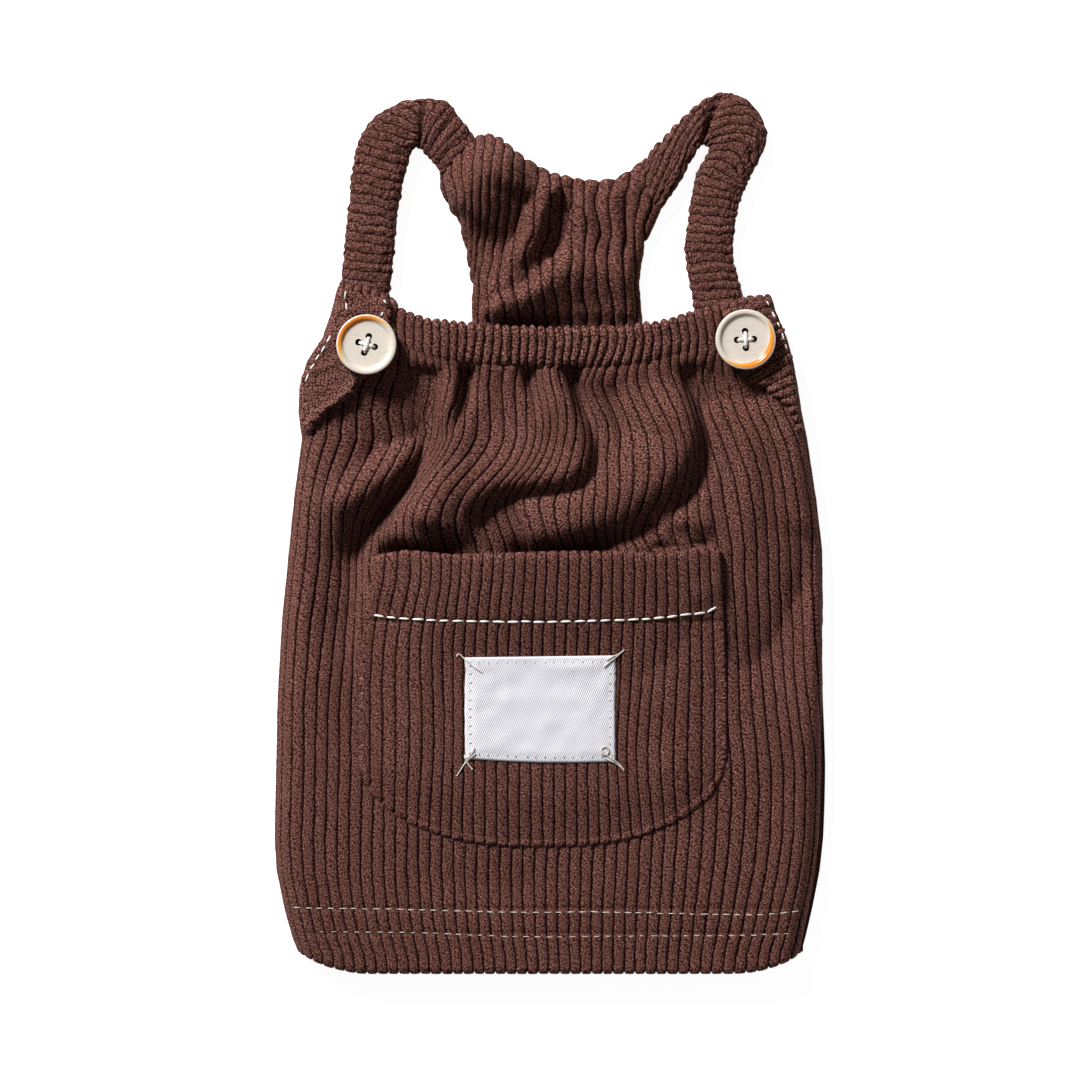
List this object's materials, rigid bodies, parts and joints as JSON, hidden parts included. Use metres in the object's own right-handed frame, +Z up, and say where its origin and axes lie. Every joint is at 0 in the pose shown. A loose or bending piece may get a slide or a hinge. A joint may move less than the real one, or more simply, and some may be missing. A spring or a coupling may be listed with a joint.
{
  "type": "dog pinafore dress",
  "caption": "Corduroy pinafore dress for a small dog, laid flat: tube body, gathered neckline, faced back bib, elastic straps, patch pocket with a blank label, and buttons.",
  "frame": {"origin": "on the surface that the dress lies on, under the middle of its whole length and width", "axes": "+X to the right of someone looking at the front, +Y from the hem to the straps, +Z up out of the front"},
  "size_m": [0.1647, 0.2641, 0.0204],
  "materials": {
    "corduroy": "dark chocolate-brown wide-wale corduroy with a dull, fuzzy pile",
    "label_twill": "white woven twill, faintly glossy",
    "button_plastic": "cream polyester resin with an amber arc on the raised rim"
  },
  "bodies": {
    "root": {"back": "corduroy", "back_facing": "corduroy", "front": "corduroy", "armhole_facing_left": "corduroy", "armhole_facing_right": "corduroy", "strap_left": "corduroy", "strap_right": "corduroy", "pocket": "corduroy", "label": "label_twill", "button_left": "button_plastic", "button_right": "button_plastic"}
  },
  "joints": []
}
